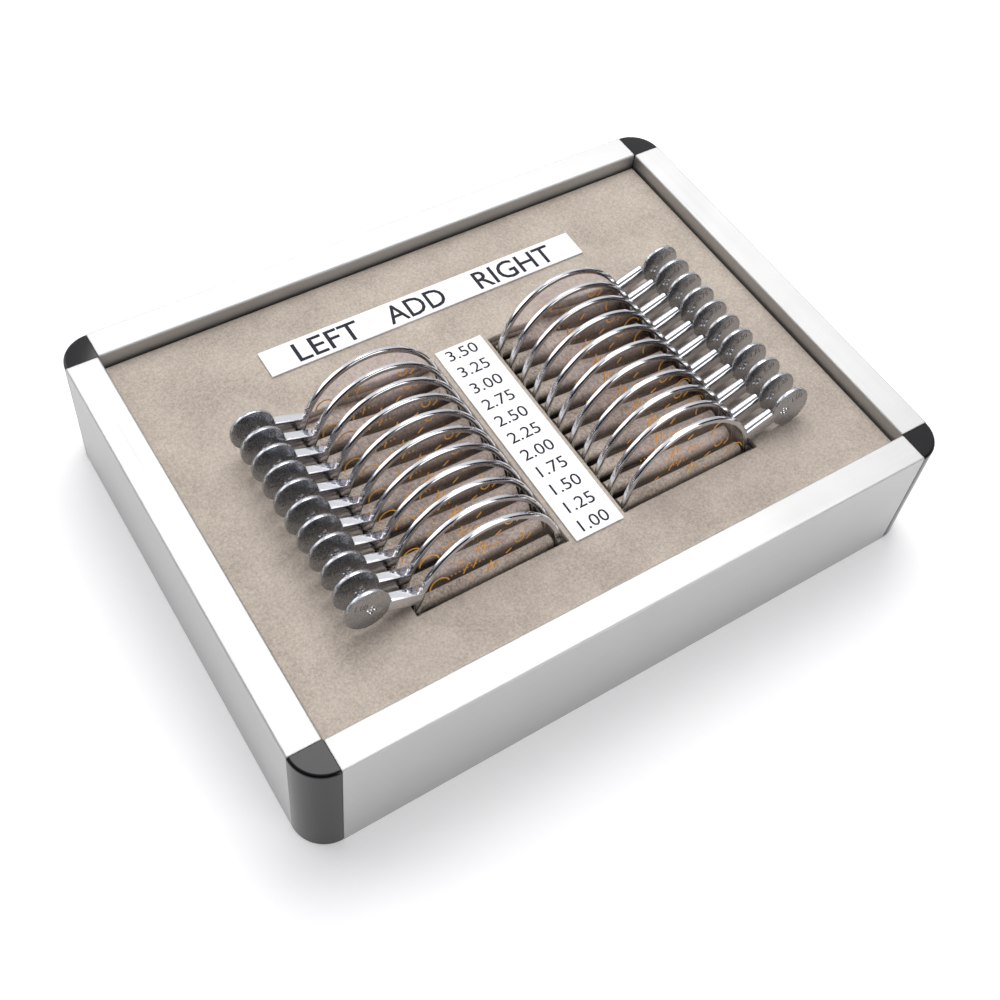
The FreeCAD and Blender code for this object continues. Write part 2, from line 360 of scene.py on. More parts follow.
# %% Extruded and anodised aluminium
def patches(tree, place, size, detail, grain, low, high, least=0.0, most=1.0):
    """A noise with patches of this size, and the same spread from low and high to least and most."""
    noise = add_node(tree, "ShaderNodeTexNoise", {
        "Vector": place, "Scale": 1 / size, "Detail": detail, "Roughness": grain})
    spread = add_node(tree, "ShaderNodeMapRange", {
        "Value": noise, "From Min": low, "From Max": high, "To Min": least, "To Max": most})
    return noise, spread


def anodised_aluminium(name, along):
    """Natural anodised aluminium with die lines along X or along Y."""
    material, tree, shader, place = new_material(name, {
        "Base Color": linear("#C1C1C0"), "Metallic": 1.0, "Roughness": 0.55})
    line_spacing = 0.25 * MM
    stretch = (0.004, 1.0, 1.0) if along == "X" else (1.0, 0.004, 1.0)
    lines = add_node(tree, "ShaderNodeMapping", {"Vector": place, "Scale": stretch})
    streaks = add_node(tree, "ShaderNodeTexNoise", {
        "Vector": lines, "Scale": 1 / line_spacing, "Detail": 3.0, "Roughness": 0.6})
    cloud = add_node(tree, "ShaderNodeTexNoise", {
        "Vector": place, "Scale": 1 / (14 * MM), "Detail": 2.0})
    both = add_node(tree, "ShaderNodeMix", {"Factor": 0.3, "A": streaks, "B": cloud})
    rough = add_node(tree, "ShaderNodeMapRange", {
        "Value": both, "From Min": 0.3, "From Max": 0.7, "To Min": 0.49, "To Max": 0.61})
    soft_edge = add_node(tree, "ShaderNodeBevel", {"Radius": 0.45 * MM}, samples=4)
    relief = add_node(tree, "ShaderNodeBump", {
        "Height": streaks, "Strength": 0.35, "Distance": 0.004 * MM, "Normal": soft_edge})
    set_inputs(tree, shader, {"Roughness": rough, "Normal": relief})
    return material


aluminium_along_x = anodised_aluminium("anodised_aluminium_extruded_x", "X")
aluminium_along_y = anodised_aluminium("anodised_aluminium_extruded_y", "Y")
print("Made", aluminium_along_x.name, "and", aluminium_along_y.name)

# %% [markdown]
# **ABS.** The corner caps are injection moulded in black ABS from a polished mould. The eye sees a
# glossy black with a faint waviness, called orange peel, about 2 mm from crest to crest.

# %% Moulded ABS
abs_black, tree, shader, place = new_material("abs_moulded_gloss_black", {
    "Base Color": linear("#0B0B0E"), "Roughness": 0.12, "IOR": 1.54, "Specular IOR Level": 0.3})
peel = add_node(tree, "ShaderNodeTexNoise", {"Vector": place, "Scale": 1 / (2 * MM), "Detail": 1.0})
haze = patches(tree, place, 0.5 * MM, 4.0, 0.7, 0.35, 0.75, 0.08, 0.2)[1]
relief = add_node(tree, "ShaderNodeBump", {"Height": peel, "Strength": 0.25, "Distance": 0.01 * MM})
set_inputs(tree, shader, {"Roughness": haze, "Normal": relief})
print("Made", abs_black.name)

# %% [markdown]
# ** Nylon flock.** The panel and the racks are flocked: short nylon fibres stand in glue on a moulded base.
# A fibre is too fine to see, but tufts and gaps about half a millimetre across give a sandy speckle,
# and the tips catch light, which the sheen stands for. Handling leaves clouds about 11 mm across where
# the pile leans another way. Down in the slots and on the panel's upright edges the colour is painted
# near black below a given height, as painted shade for the dimness there.

# %% Flock
def flock(name, deep, light, full_shade_level, no_shade_level):
    """Flock with a deep colour in its gaps and a light one on its tips, painted dark as shade below the
    lower of two heights and fading up to the upper.
    """
    material, tree, shader, place = new_material(name, {
        "Roughness": 0.95, "Specular IOR Level": 0.15, "Sheen Weight": 0.25, "Sheen Roughness": 0.4,
        "Sheen Tint": linear("#E6DFD3")})
    tufts, tuft_share = patches(tree, place, 0.55 * MM, 4.0, 0.75, 0.35, 0.65)
    cloud_share = patches(tree, place, 11 * MM, 3.0, 0.6, 0.35, 0.65)[1]
    share = add_node(tree, "ShaderNodeMix", {"Factor": 0.3, "A": tuft_share, "B": cloud_share})
    colour = add_node(tree, "ShaderNodeMix", {
        "Factor": share, 6: linear(deep), 7: linear(light)}, data_type="RGBA")
    relief = add_node(tree, "ShaderNodeBump", {"Height": tufts, "Strength": 0.7, "Distance": 0.12 * MM})
    # Painted shade: below the first height the colour is painted near black, and it fades back to the
    # flock's own colour at the second height.
    height = add_node(tree, "ShaderNodeSeparateXYZ", {"Vector": place})
    shade_fade = add_node(tree, "ShaderNodeMapRange", {
        "Value": height.outputs["Z"], "From Min": full_shade_level, "From Max": no_shade_level})
    painted_depth_shade = add_node(tree, "ShaderNodeMix", {
        "Factor": shade_fade, 6: linear("#171514"), 7: colour.outputs[2]}, data_type="RGBA")
    set_inputs(tree, shader, {"Base Color": painted_depth_shade.outputs[2], "Normal": relief})
    return material


# The two heights are where the painted shade is full and where it ends: on the panel's upright edges, and
# down in the racks' slots.
panel_flock = flock("nylon_flock_panel", "#9F948A", "#CDC1B4", 28.3 * MM, 30.0 * MM)
rack_flock = flock("nylon_flock_rack", "#786E61", "#DED2C0", 25.5 * MM, 27.4 * MM)
print("Made", panel_flock.name, "and", rack_flock.name)

# %% [markdown]
# **Chrome.** Rims and stems are turned from brass, brazed and plated with bright chrome, which
# reflects about two thirds of the light, a touch blue. Handling leaves faint smears. The handle plates
# are stamped from nickel silver, and tumbling leaves them greyer, a little wavy, and scratched in every
# direction.

# %% Chromed brass and tumbled nickel silver
chrome, tree, shader, place = new_material("brass_chrome_plated", {
    "Base Color": linear("#D4D5D9"), "Metallic": 1.0, "Roughness": 0.1})
smears, polish = patches(tree, place, 1.5 * MM, 5.0, 0.7, 0.35, 0.7, 0.06, 0.18)
relief = add_node(tree, "ShaderNodeBump", {"Height": smears, "Strength": 0.12, "Distance": 0.02 * MM})
set_inputs(tree, shader, {"Roughness": polish, "Normal": relief})

nickel, tree, shader, place = new_material("nickel_silver_stamped_tumbled", {
    "Base Color": linear("#B2B4B8"), "Metallic": 1.0, "Roughness": 0.22})
scratches = []
for scratch_turn in (0.5, 1.9):
    laid = add_node(tree, "ShaderNodeMapping", {
        "Vector": place, "Rotation": (0.3, scratch_turn, 0.2), "Scale": (1.0, 0.08, 0.5)})
    scratches.append(add_node(tree, "ShaderNodeTexNoise", {
        "Vector": laid, "Scale": 1 / (0.3 * MM), "Detail": 4.0, "Roughness": 0.8}))
crossed = add_node(tree, "ShaderNodeMix", {"Factor": 0.5, "A": scratches[0], "B": scratches[1]})
wear = add_node(tree, "ShaderNodeMapRange", {
    "Value": crossed, "From Min": 0.35, "From Max": 0.65, "To Min": 0.16, "To Max": 0.36})
tumbled = add_node(tree, "ShaderNodeTexNoise", {
    "Vector": place, "Scale": 1 / (2.2 * MM), "Detail": 2.0})
waves = add_node(tree, "ShaderNodeBump", {"Height": tumbled, "Strength": 0.5, "Distance": 0.35 * MM})
relief = add_node(tree, "ShaderNodeBump", {
    "Height": crossed, "Strength": 0.7, "Distance": 0.03 * MM, "Normal": waves})
set_inputs(tree, shader, {"Roughness": wear, "Normal": relief})
print("Made", chrome.name, "and", nickel.name)

# %% [markdown]
# **Crown glass.** The lenses are ground, polished and coated against reflections. The coating is a
# quarter of a wave thick, so it cancels green best and leaves a violet reflection. The shader has this
# thin film built in, with its thickness in nanometres.

# %% Coated glass
glass, tree, shader, place = new_material("crown_glass_polished_coated", {
    "Base Color": linear("#FBF8FC"), "Roughness": 0.0, "IOR": 1.523, "Transmission Weight": 1.0,
    "Thin Film Thickness": 105.0, "Thin Film IOR": 1.38})
film = patches(tree, place, 6 * MM, 3.0, 0.5, 0.5, 0.8, 0.0, 0.03)[1]
set_inputs(tree, shader, {"Roughness": film})
print("Made", glass.name)

# %% [markdown]
# **Inks, card and boards.** The layout marks on the lenses are stamped in orange ink, which is thin
# and uneven. The labels are white card, laser printed in a bluish black and laminated. The base is a
# black hardboard, and the filler under the panel is grey fibreboard with short fibres in it.

# %% Printed card, inks and boards
def speckled(name, dark, light, grain, values, relief_height):
    """A surface with two close colours mixed by a fine grain, which also gives it relief."""
    material, tree, shader, place = new_material(name, values)
    grains, share = patches(tree, place, grain, 4.0, 0.65, 0.35, 0.65)
    colour = add_node(tree, "ShaderNodeMix", {
        "Factor": share, 6: linear(dark), 7: linear(light)}, data_type="RGBA")
    relief = add_node(tree, "ShaderNodeBump", {
        "Height": grains, "Strength": 0.4, "Distance": relief_height})
    set_inputs(tree, shader, {"Base Color": colour.outputs[2], "Normal": relief})
    return material


card = speckled("card_laminated_white", "#EFEFF1", "#F7F7F9", 0.8 * MM,
                {"Roughness": 0.32, "IOR": 1.5}, 0.01 * MM)
print_ink = speckled("toner_printed_blue_black", "#10111F", "#1B1C2C", 0.2 * MM,
                     {"Roughness": 0.6, "IOR": 1.5, "Specular IOR Level": 0.25}, 0.005 * MM)
marking_ink = speckled("marking_ink_stamped_orange", "#FF9C10", "#FFC838", 0.3 * MM,
                       {"Roughness": 0.4, "IOR": 1.5}, 0.01 * MM)
hardboard = speckled("hardboard_pressed_black", "#1C1B1A", "#2C2A28", 0.9 * MM,
                     {"Roughness": 0.7}, 0.05 * MM)
fibreboard = speckled("fibreboard_pressed_grey", "#3B3835", "#57534E", 0.7 * MM,
                      {"Roughness": 0.85}, 0.08 * MM)
print("Made", len(bpy.data.materials), "materials")

# %% [markdown]
# ## The frame
#
# The four side profiles, the base board, the filler and the flocked panel already have their real
# shape in the CAD model, so they stay as they are and only get their finish.

# %% CAD pieces that stay
for node, material in (
        ("profile_front", aluminium_along_x), ("profile_back", aluminium_along_x),
        ("profile_left", aluminium_along_y), ("profile_right", aluminium_along_y),
        ("base_board", hardboard), ("core_frame", fibreboard), ("insert_panel", panel_flock),
        ("heading_label", card), ("scale_label", card)):
    coat(frame["nodes"][node].data, material)
print("Finishes given to the nodes that stay")

# %% [markdown]
# A corner cap is a quarter of a round post with a softened upper edge. It is turned through ninety
# degrees from its outline, so its wall is truly round in the reflections. Its two tenons reach into
# the hollow profiles.

# %% Corner caps
cap_radius = 8.0
cap_edge = 0.8
cap_foot = 0.25
case_high = Vector(cad_box[1])
profile_low, profile_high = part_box("profile_front")
cap_height = (profile_high.z - profile_low.z) / MM
tenon_wall = 1.3
tenon_root = -0.4
tenon_length = 8.9
tenon_foot = 5.1


def cap_outline():
    """Radius and height of the cap's section, from the axis at the foot round to the axis at the top."""
    outline = [(0, 0), (cap_radius - cap_foot, 0), (cap_radius, cap_foot)]
    for step in range(9):
        angle = math.radians(90 * step / 8)
        outline.append((cap_radius - cap_edge + cap_edge * math.cos(angle),
                        cap_height - cap_edge + cap_edge * math.sin(angle)))
    outline.append((0, cap_height))
    return outline


def tenon(along_low, along_high, across_low, across_high):
    """A block with eased edges between these limits in X and Y, as high as a tenon."""
    low = Vector((along_low, across_low, tenon_foot))
    high = Vector((along_high, across_high, cap_height - tenon_wall))
    shell = bmesh.new()
    bmesh.ops.create_cube(shell, size=1.0, matrix=(
        Matrix.Translation((low + high) / 2) @ Matrix.Diagonal((*(high - low), 1.0))))
    bmesh.ops.bevel(shell, geom=shell.edges[:], offset=0.2, segments=2, affect="EDGES", profile=0.5)
    return kept_mesh(shell, "tenon")


quarter = revolved(cap_outline(), 40, 90)
quarter.transform(Matrix.Rotation(math.pi, 4, "Z"))
smooth_between_edges(quarter, 40)
tenon_outer = tenon_wall - cap_radius
tenon_x = tenon(tenon_root, tenon_length, tenon_outer, -tenon_wall)
tenon_y = tenon(tenon_outer, -tenon_wall, tenon_root, tenon_length)
cap_mesh = coat(joined([quarter, tenon_x, tenon_y], "corner_cap"), abs_black)
corner_x = case_high.x - cap_radius * MM
corner_y = case_high.y - cap_radius * MM
for corner, turn_degrees, x, y in (
        ("front_left", 0, -corner_x, -corner_y),
        ("front_right", 90, corner_x, -corner_y),
        ("back_right", 180, corner_x, corner_y),
        ("back_left", 270, -corner_x, corner_y)):
    spot = Matrix.Translation((x, y, 0)) @ Matrix.Rotation(math.radians(turn_degrees), 4, "Z")
    cap = placed_copy(cap_mesh, f"moulded_corner_{corner}", spot)
    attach(cap, "root")
    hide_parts(f"corner_{corner}")
print("Corner cap:", len(cap_mesh.polygons), "faces, used four times")

# %% [markdown]
# ## The racks
#
# A rack is a moulded tub with eleven leaning ribs, and the lenses stand in the slots between them.
# Ribs of one shape at one pitch are a job for geometry nodes: one rib is swept along its length,
# instanced on a line of points, and united with the tub. The first slot lies in front of the first
# rib, and the ribs stop a little short of the tub's side walls.

# %% Sizes of the rows
lens_lean = math.radians(8.0)
handle_turn = {"left": math.radians(180 - 18.6), "right": math.radians(17.8)}
rows = 11
row_pitch = 5.33
rim_width = 1.3
slot_width = 2.0
rib_thickness = row_pitch * math.cos(lens_lean) - slot_width
crest_drop = 2.7
rib_end_gap = 1.75
powers = [100 + 25 * row for row in range(rows)]
panel_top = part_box("insert_panel")[1].z / MM
print("Rib", round(rib_thickness, 3), "mm thick, panel top at", round(panel_top, 2), "mm")


# %% Curves for the sweeps
def poly_curve(name, lines, closed=False):
    """A curve with one straight-sided spline for each line of flat or spatial points."""
    curve = bpy.data.curves.new(name, "CURVE")
    curve.dimensions = "3D"
    for points in lines:
        spline = curve.splines.new("POLY")
        spline.points.add(len(points) - 1)
        for point, place in zip(spline.points, points):
            point.co = (*Vector(place).to_3d(), 1)
        spline.use_cyclic_u = closed
    return linked(name, curve)


def rib_outline(height):
    """A rib seen from its end: straight sides up to a round crest, with its foot at Y zero."""
    half = rib_thickness / 2
    points = [(-half, 0), (half, 0)]
    for step in range(13):
        angle = math.radians(180 * step / 12)
        points.append((half * math.cos(angle), height - half + half * math.sin(angle)))
    return points


print("Rib outline has", len(rib_outline(20)), "points")


# %% The tree that sets the ribs
def new_tree(name, sockets):
    """An empty geometry tree with named inputs, and the sockets that these give."""
    tree = bpy.data.node_groups.new(name, "GeometryNodeTree")
    tree.interface.new_socket("Geometry", in_out="OUTPUT", socket_type="NodeSocketGeometry")
    for socket_name, kind in sockets.items():
        tree.interface.new_socket(socket_name, in_out="INPUT", socket_type=f"NodeSocket{kind}")
    return tree, add_node(tree, "NodeGroupInput").outputs


def end_tree(tree, geometry, material):
    """End a tree in real geometry of one material, and return it."""
    real = add_node(tree, "GeometryNodeRealizeInstances", {"Geometry": geometry})
    finished = add_node(tree, "GeometryNodeSetMaterial", {"Geometry": real, "Material": material})
    add_node(tree, "NodeGroupOutput", {"Geometry": finished})
    print("Tree", tree.name, "has", len(tree.nodes), "nodes")
    return tree


def run_tree(tree, values, name, start=None):
    """Run a tree once, on a start mesh where it has one, and return its result as a plain mesh."""
    host = linked(name, start or bpy.data.meshes.new("no_start"))
    modifier = host.modifiers.new(tree.name, "NODES")
    modifier.node_group = tree
    for socket_name, value in values.items():
        modifier[tree.interface.items_tree[socket_name].identifier] = value
    result = plain_mesh(host, name)
    host.modifiers.remove(modifier)
    discard(host)
    return result


tree, given = new_tree("ribs_in_tub", {
    "Tub": "Geometry", "Section": "Object", "Rib Length": "Float", "Ribs": "Int", "First": "Vector",
    "Pitch": "Vector", "Lean": "Rotation", "Material": "Material"})
rib_ends = []
for share in (-0.5, 0.5):
    reach = add_node(tree, "ShaderNodeMath", {0: given["Rib Length"], 1: share}, operation="MULTIPLY")
    rib_ends.append(add_node(tree, "ShaderNodeCombineXYZ", {"Z": reach}))
rib_line = add_node(tree, "GeometryNodeCurvePrimitiveLine", {"Start": rib_ends[0], "End": rib_ends[1]})
rib_section = add_node(tree, "GeometryNodeObjectInfo", {"Object": given["Section"]})
rib = add_node(tree, "GeometryNodeCurveToMesh", {
    "Curve": rib_line, "Profile Curve": rib_section.outputs["Geometry"], "Fill Caps": True})
stations = add_node(tree, "GeometryNodeMeshLine", {
    "Count": given["Ribs"], "Start Location": given["First"], "Offset": given["Pitch"]})
set_ribs = add_node(tree, "GeometryNodeInstanceOnPoints", {
    "Points": stations, "Instance": rib, "Rotation": given["Lean"]})
real_ribs = add_node(tree, "GeometryNodeRealizeInstances", {"Geometry": set_ribs})
united = add_node(tree, "GeometryNodeMeshBoolean", {
    "Mesh 2": given["Tub"], "Self Intersection": True}, operation="UNION", solver="EXACT")
set_inputs(tree, united, {"Mesh 2": real_ribs})
rack_tree = end_tree(tree, united, given["Material"])


# %% Racks
slot_floor_gap = 0.2
slot_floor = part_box("left_holder_100")[0].z / MM - slot_floor_gap
lens_low, lens_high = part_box("left_lens_100")
first_lens = (lens_low + lens_high) / (2 * MM)
first_row = first_lens.y + (panel_top - first_lens.z) * math.tan(lens_lean)
slot_half = slot_width / 2 / math.cos(lens_lean)
rack_side = 1.6
tub_drop = 0.1


def leaning(y_on_panel, level):
    """Where a leaning plane that meets the panel's top at this Y stands at another level."""
    return y_on_panel - (panel_top - level) * math.tan(lens_lean)


def tub_mesh(low, high, top):
    """The closed shell of a rack's tub, whose front and back inner walls lean with the lenses."""
    front = first_row - slot_half
    back = first_row + (rows - 0.5) * row_pitch + rib_thickness / 2
    inner = high.x - rack_side
    points = [(x, y, z) for z in (low.z, top) for x, y in (
        (low.x, low.y), (high.x, low.y), (high.x, high.y), (low.x, high.y))]
    for z in (top, slot_floor):
        points += [(-inner, leaning(front, z), z), (inner, leaning(front, z), z),
                   (inner, leaning(back, z), z), (-inner, leaning(back, z), z)]
    faces = [(3, 2, 1, 0), (12, 13, 14, 15)]
    for corner in range(4):
        after = (corner + 1) % 4
        faces.append((corner, after, 4 + after, 4 + corner))
        faces.append((4 + corner, 4 + after, 8 + after, 8 + corner))
        faces.append((8 + corner, 8 + after, 12 + after, 12 + corner))
    mesh = bpy.data.meshes.new("tub")
    mesh.from_pydata(points, [], faces)
    return mesh


rib_foot_depth = 0.5
rib_foot = slot_floor - rib_foot_depth
crest_middle = panel_top - crest_drop - rib_thickness / 2
rib_height = (crest_middle - rib_foot) / math.cos(lens_lean) + rib_thickness / 2
rib_curve = poly_curve("rib_section", [rib_outline(rib_height)], closed=True)
across = Vector((0, math.cos(lens_lean), -math.sin(lens_lean)))
upward = Vector((0, math.sin(lens_lean), math.cos(lens_lean)))
rib_turn = Matrix((across, upward, Vector((1, 0, 0)))).transposed().to_euler()
for side in ("left", "right"):
    rack_low, rack_high = (Vector(corner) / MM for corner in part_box(f"slot_rack_{side}"))
    shift = Vector(((rack_low.x + rack_high.x) / 2, 0, 0))
    tub = tub_mesh(rack_low - shift, rack_high - shift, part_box("core_frame")[1].z / MM - tub_drop)
    rack_mesh = run_tree(rack_tree, {
        "Section": rib_curve,
        "Rib Length": rack_high.x - rack_low.x - 2 * rack_side - 2 * rib_end_gap,
        "Ribs": rows,
        "First": (0.0, leaning(first_row + row_pitch / 2, rib_foot), rib_foot),
        "Pitch": (0.0, row_pitch, 0.0),
        "Lean": tuple(rib_turn),
        "Material": rack_flock}, f"flocked_rack_{side}", tub)
    smooth_between_edges(rack_mesh, 40)
    rack = placed_copy(rack_mesh, f"flocked_rack_{side}", Matrix.Translation(shift * MM))
    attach(rack, "root")
    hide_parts(f"slot_rack_{side}")
    print(rack.name, "has", len(rack_mesh.polygons), "faces")
discard(rib_curve)

# %% [markdown]
# ## The rims
#
# A rim is a ring turned on a lathe. Its outer edges are chamfered, and inside it has a groove for the
# lens. That is one section swept round a circle, so a tree does it: it rounds the section's corners
# by a few hundredths, because a sharp edge catches no light, and then sweeps it.

# %% Rim
rim_radius = 19.0
rim_wall = 1.2
chamfer_along = 0.25
chamfer_across = 0.3
groove_depth = 0.5
lens_edge = 0.6
lens_clearance = 0.05
rim_line = rim_radius - rim_wall / 2
half_rim = rim_width / 2

tree, given = new_tree("swept_rim", {
    "Nothing": "Geometry", "Section": "Object", "Radius": "Float", "Steps": "Int", "Edge Radius": "Float",
    "Material": "Material"})
section = add_node(tree, "GeometryNodeObjectInfo", {"Object": given["Section"]})
eased = add_node(tree, "GeometryNodeFilletCurve", {
    "Curve": section.outputs["Geometry"], "Count": 2, "Radius": given["Edge Radius"],
    "Limit Radius": True}, mode="POLY")
circle = add_node(tree, "GeometryNodeCurvePrimitiveCircle", {
    "Resolution": given["Steps"], "Radius": given["Radius"]})
ring = add_node(tree, "GeometryNodeCurveToMesh", {"Curve": circle, "Profile Curve": eased})
end_tree(tree, ring, given["Material"])

inside = -rim_wall / 2
outside = rim_wall / 2
rim_points = [
    (inside, -half_rim), (outside - chamfer_across, -half_rim), (outside, chamfer_along - half_rim),
    (outside, half_rim - chamfer_along), (outside - chamfer_across, half_rim), (inside, half_rim),
    (inside, lens_edge / 2 + lens_clearance), (inside + groove_depth, 0),
    (inside, -lens_edge / 2 - lens_clearance)]
rim_curve = poly_curve("rim_section", [rim_points], closed=True)
rim_mesh = run_tree(tree, {
    "Section": rim_curve, "Radius": rim_line, "Steps": 120, "Edge Radius": 0.05,
    "Material": chrome}, "rim")
discard(rim_curve)
print("Rim:", len(rim_mesh.polygons), "faces")

# %% [markdown]
# ## The handles
#
# The handle plate is stamped from sheet 0.9 mm thick: a round disc to hold and a tongue that ends
# inside the stem. Its outline is drawn from the disc, the tongue's sides and the small notches at the
# neck. Then it gets its thickness and a slightly broken edge, as tumbling leaves it.

# %% Handle plate
plate_thickness = 0.9
disc_radius = 5.35
disc_middle = Vector((31.75, -0.5))
tongue_start = 24.0
tongue_top = 1.1
tongue_bottom = -1.6
neck_radius = 0.8
plate_high = half_rim
plate_low = plate_high - plate_thickness


def arc(middle, radius, start, end, steps):
    """Points on an arc between two angles in radians."""
    angles = [start + (end - start) * step / steps for step in range(steps + 1)]
    return [(middle[0] + radius * math.cos(angle), middle[1] + radius * math.sin(angle))
            for angle in angles]


def neck(edge_y, outward):
    """The middle of a neck notch that touches the tongue's side and the disc."""
    y = edge_y + outward * neck_radius
    reach = math.sqrt((disc_radius + neck_radius) ** 2 - (y - disc_middle.y) ** 2)
    return Vector((disc_middle.x - reach, y))


lower_neck = neck(tongue_bottom, -1)
upper_neck = neck(tongue_top, 1)
lower_turn, upper_turn = (math.atan2(*(middle - disc_middle).yx) for middle in (lower_neck, upper_neck))
plate_outline = [(tongue_start, tongue_top), (tongue_start, tongue_bottom)]
plate_outline += arc(lower_neck, neck_radius, math.pi / 2, lower_turn + math.pi, 6)
plate_outline += arc(disc_middle, disc_radius, lower_turn, upper_turn, 72)[1:-1]
plate_outline += arc(upper_neck, neck_radius, upper_turn - math.pi, -math.pi / 2, 6)

shell, foot, roof = extruded([(x, y, plate_low) for x, y in plate_outline],
                             [(x, y, plate_high) for x, y in plate_outline])
free_edges = [shell.edges.get((row[index], row[(index + 1) % len(row)]))
              for row in (foot, roof) for index in range(1, len(foot))]
bmesh.ops.bevel(shell, geom=free_edges, offset=0.12, segments=2, affect="EDGES", profile=0.5)
plate_mesh = coat(kept_mesh(shell, "handle_plate"), nickel)
print("Handle plate:", len(plate_mesh.polygons), "faces")

# %% [markdown]
# Each plate is marked with what its lens adds: a plus sign, punched as five dots, and the power in
# small engraved figures. The marks are real hollows: small balls and thin figures are cut out of the
# plate's front. The punched hollows are chrome bright, because the punch polishes them. In the left
# row the handle points the other way, so its figures are turned round to stay upright.

# %% Punched and engraved marks
punch_radius = 0.72
punch_depth = 0.42
punch_step = 0.84
plus_middle = {"left": Vector((30.9, -0.4)), "right": Vector((29.9, -0.1))}
figure_middle = {"left": Vector((33.9, -1.7)), "right": Vector((33.8, 1.4))}
figure_size = 2.2
engraving_depth = 0.14


def figures(words, size, depth, squeeze, bolder, material):
    """A number or word as a closed solid, its baseline on X and its middle on Z zero."""
    text = bpy.data.curves.new("figures", "FONT")
    text.body = words
    text.size = size
    text.extrude = depth
    text.offset = bolder
    text.align_x = "CENTER"
    text.resolution_u = 3
    host = linked("figures", text)
    mesh = plain_mesh(host, "figures")
    discard(host)
    shell = bmesh.new()
    shell.from_mesh(mesh)
    bmesh.ops.remove_doubles(shell, verts=shell.verts, dist=0.0001)
    mesh = coat(kept_mesh(shell, "figures"), material)
    mesh.transform(Matrix.Diagonal((squeeze, 1.0, 1.0, 1.0)))
    return mesh


def punch(place):
    """A small ball that leaves one dent in a face at this place."""
    shell = bmesh.new()
    spot = Matrix.Translation(place)
    bmesh.ops.create_icosphere(shell, subdivisions=2, radius=punch_radius, matrix=spot)
    return coat(kept_mesh(shell, "punch"), chrome)


def marked_plate(side, power):
    """The handle plate with its plus sign and its power cut into its front."""
    plus = plus_middle[side]
    spot = figure_middle[side]
    ball_level = plate_high + punch_radius - punch_depth
    cutters = [punch((plus.x + x * punch_step, plus.y + y * punch_step, ball_level))
               for x, y in ((0, 0), (1, 0), (-1, 0), (0, 1), (0, -1))]
    number = figures(f"{power / 100:.2f}", figure_size, engraving_depth, 0.9, 0.01, nickel)
    upright = Matrix.Rotation(math.pi if side == "left" else 0.0, 4, "Z")
    number.transform(Matrix.Translation((spot.x, spot.y, plate_high)) @ upright
                     @ Matrix.Translation((0, -figure_size / 3, 0)))
    cutters.append(number)
    tool = linked("marks", joined(cutters, "marks"))
    blank = linked("blank", plate_mesh.copy())
    cut = blank.modifiers.new("cut_marks", "BOOLEAN")
    cut.operation = "DIFFERENCE"
    cut.solver = "EXACT"
    cut.use_self = True
    cut.material_mode = "TRANSFER"
    cut.object = tool
    result = plain_mesh(blank, f"plate_{side}_{power}")
    discard(tool, blank)
    return result


print("A plus sign of five dents,", punch_depth, "mm deep")

# %% [markdown]
# The stem is a short bar. Its front, its back and one side are flat, and the other side is round. The
# flat side looks up in the left row and down in the right row. The section is pulled out along the
# handle, and its free end is eased.

# %% Stem
stem_flat_side = -1.65
stem_round_side = 2.4
stem_in_rim = 0.75
stem_start = rim_radius - stem_in_rim
stem_end = 26.6
stem_proud = 0.03
stem_thickness = 2.45
stem_front = plate_high + stem_proud
stem_back = plate_high - stem_thickness
stem_round = (stem_front - stem_back) / 2
stem_outline = [(stem_flat_side, stem_back), (stem_flat_side, stem_front)]
stem_outline += arc((stem_round_side - stem_round, stem_front - stem_round), stem_round,
                    math.pi / 2, -math.pi / 2, 18)
shell, near, far = extruded([(stem_start, y, z) for y, z in stem_outline],
                            [(stem_end, y, z) for y, z in stem_outline])
eased_edges = [shell.edges.get((far[index - 1], far[index])) for index in range(1, len(far))]
eased_edges.append(shell.edges.get((far[-1], far[0])))
eased_edges += [shell.edges.get((near[index], far[index])) for index in (0, 1)]
bmesh.ops.bevel(shell, geom=eased_edges, offset=0.16, segments=3, affect="EDGES", profile=0.5)
stem_mesh = coat(kept_mesh(shell, "stem"), chrome)
print("Stem:", len(stem_mesh.polygons), "faces")

# %% [markdown]
# Where the stem meets the rim, the braze has run out along the rim's band and set in small lumps that
# sparkle under the chrome, farther in the left row than in the right. A tree scatters little balls of
# different sizes along the joint with a fixed seed, lays them on a thin bed, and melts it all together
# by turning it into a volume and back.

# %% Braze
tree, given = new_tree("braze_along_joint", {
    "Nothing": "Geometry", "Joint": "Object", "Lumps": "Int", "Smallest": "Float", "Largest": "Float",
    "Stray": "Float", "Bed": "Float", "Voxel": "Float", "Seed": "Int", "Material": "Material"})
joint = add_node(tree, "GeometryNodeObjectInfo", {"Object": given["Joint"]})
spots = add_node(tree, "GeometryNodeCurveToPoints", {
    "Curve": joint.outputs["Geometry"], "Count": given["Lumps"]}, mode="COUNT")
less_stray = add_node(tree, "ShaderNodeMath", {0: given["Stray"], 1: -1.0}, operation="MULTIPLY")
wander = add_node(tree, "FunctionNodeRandomValue", {
    0: less_stray, 1: given["Stray"], "Seed": given["Seed"]}, data_type="FLOAT_VECTOR")
strayed = add_node(tree, "GeometryNodeSetPosition", {"Geometry": spots, "Offset": wander})
lump_size = add_node(tree, "FunctionNodeRandomValue", {
    2: given["Smallest"], 3: given["Largest"], "Seed": given["Seed"]}, data_type="FLOAT")
ball = add_node(tree, "GeometryNodeMeshIcoSphere", {"Radius": 1.0, "Subdivisions": 2})
lumps = add_node(tree, "GeometryNodeInstanceOnPoints", {
    "Points": strayed, "Instance": ball, "Scale": lump_size.outputs[1]})
bed_section = add_node(tree, "GeometryNodeCurvePrimitiveCircle", {
    "Resolution": 10, "Radius": given["Bed"]})
